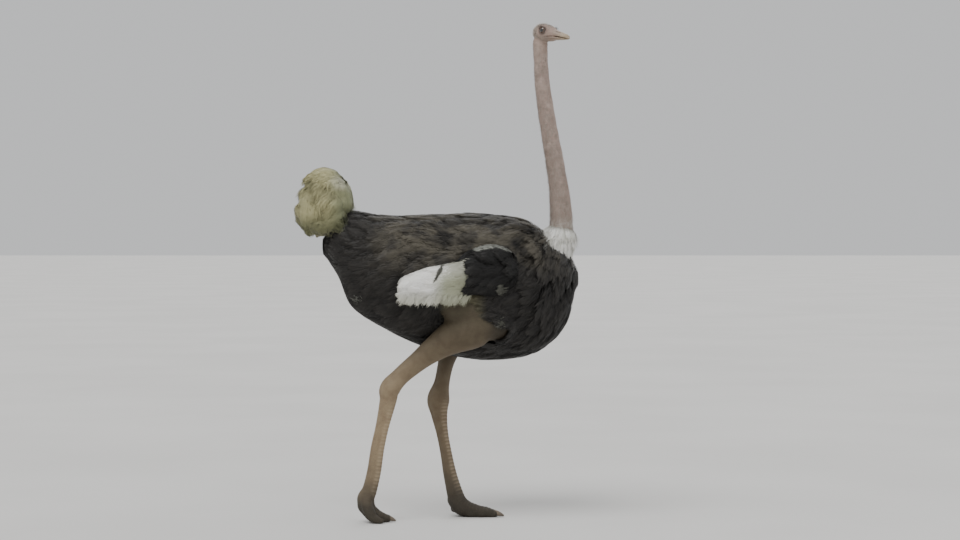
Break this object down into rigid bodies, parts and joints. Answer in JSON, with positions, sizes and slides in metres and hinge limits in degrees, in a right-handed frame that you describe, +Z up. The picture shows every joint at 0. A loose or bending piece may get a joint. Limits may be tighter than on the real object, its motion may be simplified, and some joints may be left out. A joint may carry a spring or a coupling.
{
  "type": "ostrich",
  "caption": "Life-size standing male ostrich in mid-stride, with a raised bushy tail, folded wings with pale plumes, a collared neck and bare legs.",
  "frame": {"origin": "on the floor, under the middle of the whole bird's bounding box", "axes": "+X is the way the bird walks, +Y its left side, +Z up"},
  "size_m": [1.2658, 0.6042, 2.2097],
  "materials": {
    "black_plumage": "soft, loose, matte to silky",
    "white_plumage": "soft, loose, matte",
    "tail_plumage": "soft, loose, dusty",
    "pink_skin": "bare, finely creased, with thin down",
    "leg_skin": "dry and scaly",
    "bill_horn": "satin horn",
    "claw_horn": "worn horn",
    "eye": "wet gloss"
  },
  "bodies": {
    "root": {"trunk": "black_plumage", "tail": "tail_plumage", "wing_right": "black_plumage", "wing_left": "black_plumage", "wing_plumes_right": "white_plumage", "wing_plumes_left": "white_plumage", "collar": "white_plumage", "neck_lower": "pink_skin", "neck_middle": "pink_skin", "neck_upper": "pink_skin", "head": "pink_skin", "bill_upper": "bill_horn", "bill_lower": "bill_horn", "eye_right": "eye", "eye_left": "eye", "thigh_right": "pink_skin", "thigh_left": "pink_skin", "drumstick_right": "pink_skin", "drumstick_left": "pink_skin", "shank_right": "leg_skin", "shank_left": "leg_skin", "toe_big_right": "leg_skin", "toe_big_left": "leg_skin", "toe_small_right": "leg_skin", "toe_small_left": "leg_skin", "claw_right": "claw_horn", "claw_left": "claw_horn"}
  },
  "joints": []
}
